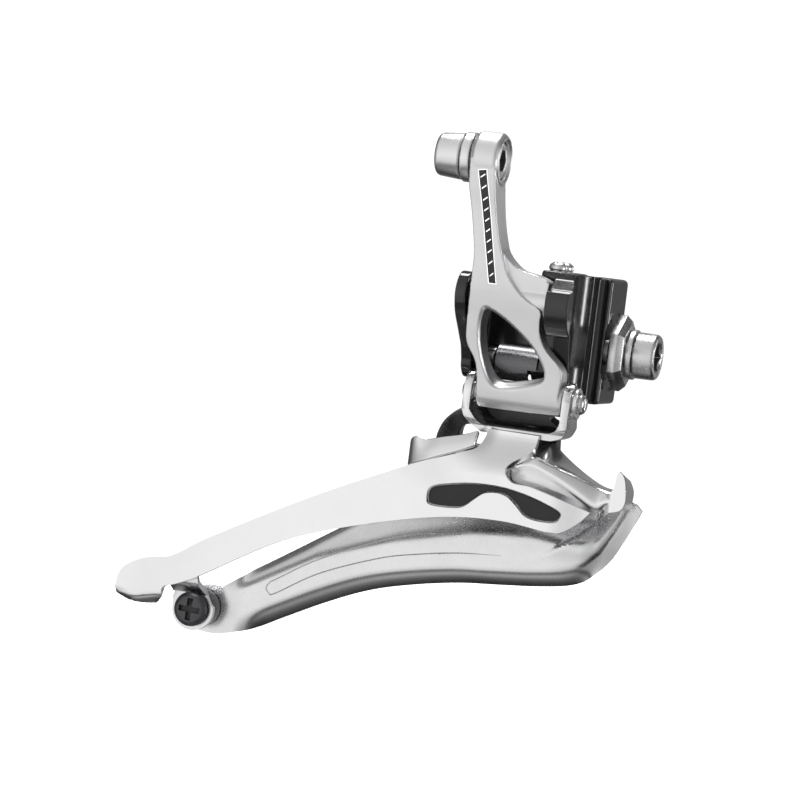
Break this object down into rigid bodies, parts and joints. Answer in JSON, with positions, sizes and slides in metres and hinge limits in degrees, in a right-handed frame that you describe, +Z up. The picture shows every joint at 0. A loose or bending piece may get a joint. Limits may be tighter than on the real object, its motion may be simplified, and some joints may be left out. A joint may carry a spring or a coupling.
{
  "type": "front derailleur",
  "caption": "Braze-on road front derailleur: black body on a hex-socket bolt, silver lever arm with cable clamp, sprung parallelogram and a polished twin-plate chain cage.",
  "frame": {"origin": "on the fixing bolt's axis, in the plane of the body's seat on the frame tab", "axes": "+X along the fixing bolt towards its head and forward on the bicycle, +Y towards the bicycle frame (the cage swings out along -Y), +Z up"},
  "size_m": [0.0964, 0.0356, 0.1002],
  "materials": {
    "black_alloy": "gloss black anodised forging",
    "silver_alloy": "fine satin",
    "polished_steel": "polished, bright plated",
    "zinc_steel": "bright zinc plated",
    "dark_steel": "black oxide",
    "black_nylon": "moulded",
    "spring_steel": "drawn wire"
  },
  "bodies": {
    "support": {"support_body": "black_alloy", "fixing_bolt_washer": "zinc_steel", "tab_hex_washer": "zinc_steel", "upper_outer_pin": "dark_steel", "upper_inner_pin": "dark_steel", "return_spring": "spring_steel", "spring_cover": "dark_steel"},
    "fixing_bolt_turner": {"fixing_bolt": "zinc_steel"},
    "low_limit": {"low_limit_screw": "zinc_steel"},
    "high_limit": {"high_limit_screw": "zinc_steel"},
    "arm": {"outer_arm": "silver_alloy", "outer_arm_bush_rear": "black_nylon", "outer_arm_bush_front": "black_nylon", "cable_clamp_barrel": "zinc_steel", "cable_clamp_washer": "zinc_steel"},
    "cable_clamp": {"cable_clamp_bolt": "zinc_steel"},
    "link": {"inner_link": "black_alloy"},
    "cage": {"outer_cage_plate": "polished_steel", "window_inlay": "black_nylon", "inner_cage_plate": "polished_steel", "pivot_bracket": "polished_steel", "inner_pivot_bracket": "polished_steel", "cage_bridge": "polished_steel", "rear_bridge": "polished_steel", "outer_plate_tail_tab": "polished_steel", "tail_spacer": "zinc_steel", "lower_outer_pin": "zinc_steel", "lower_pin_washer": "zinc_steel", "lower_inner_pin": "dark_steel"},
    "tail_fastener": {"tail_screw": "dark_steel"}
  },
  "joints": [
    {"name": "arm_pivot", "type": "hinge", "parent": "support", "child": "arm", "pos_m": [0, -0.022, 0.008], "axis": [-1, 0, 0], "range_deg": [0, 40], "stiffness_Nm_per_rad": 0.8, "springref_deg": -25.78},
    {"name": "inner_link_pivot", "type": "hinge", "parent": "support", "child": "link", "pos_m": [0, -0.013, -0.004], "axis": [-1, 0, 0], "range_deg": [0, 40]},
    {"name": "cage_pivot", "type": "hinge", "parent": "arm", "child": "cage", "pos_m": [0, -0.01791, -0.00973], "axis": [-1, 0, 0], "range_deg": [-40, 0]},
    {"name": "fixing_bolt_turn", "type": "hinge", "parent": "support", "child": "fixing_bolt_turner", "pos_m": [0.005, 0, 0], "axis": [1, 0, 0], "range_deg": [-720, 720]},
    {"name": "low_limit_screw_turn", "type": "hinge", "parent": "support", "child": "low_limit", "pos_m": [-0.0087, -0.0139, 0.012], "axis": [0, 0, 1], "range_deg": [-720, 720]},
    {"name": "high_limit_screw_turn", "type": "hinge", "parent": "support", "child": "high_limit", "pos_m": [-0.0087, -0.0093, 0.012], "axis": [0, 0, 1], "range_deg": [-720, 720]},
    {"name": "cable_clamp_bolt_turn", "type": "hinge", "parent": "arm", "child": "cable_clamp", "pos_m": [-0.022, -0.024, 0.0327], "axis": [1, 0, 0], "range_deg": [-720, 720]},
    {"name": "tail_screw_turn", "type": "hinge", "parent": "cage", "child": "tail_fastener", "pos_m": [-0.0693, -0.018, -0.0576], "axis": [0, -1, 0], "range_deg": [-720, 720]}
  ],
  "couplings": [
    {"joint": "inner_link_pivot", "follows": "arm_pivot", "ratio": 1},
    {"joint": "cage_pivot", "follows": "arm_pivot", "ratio": -1}
  ]
}
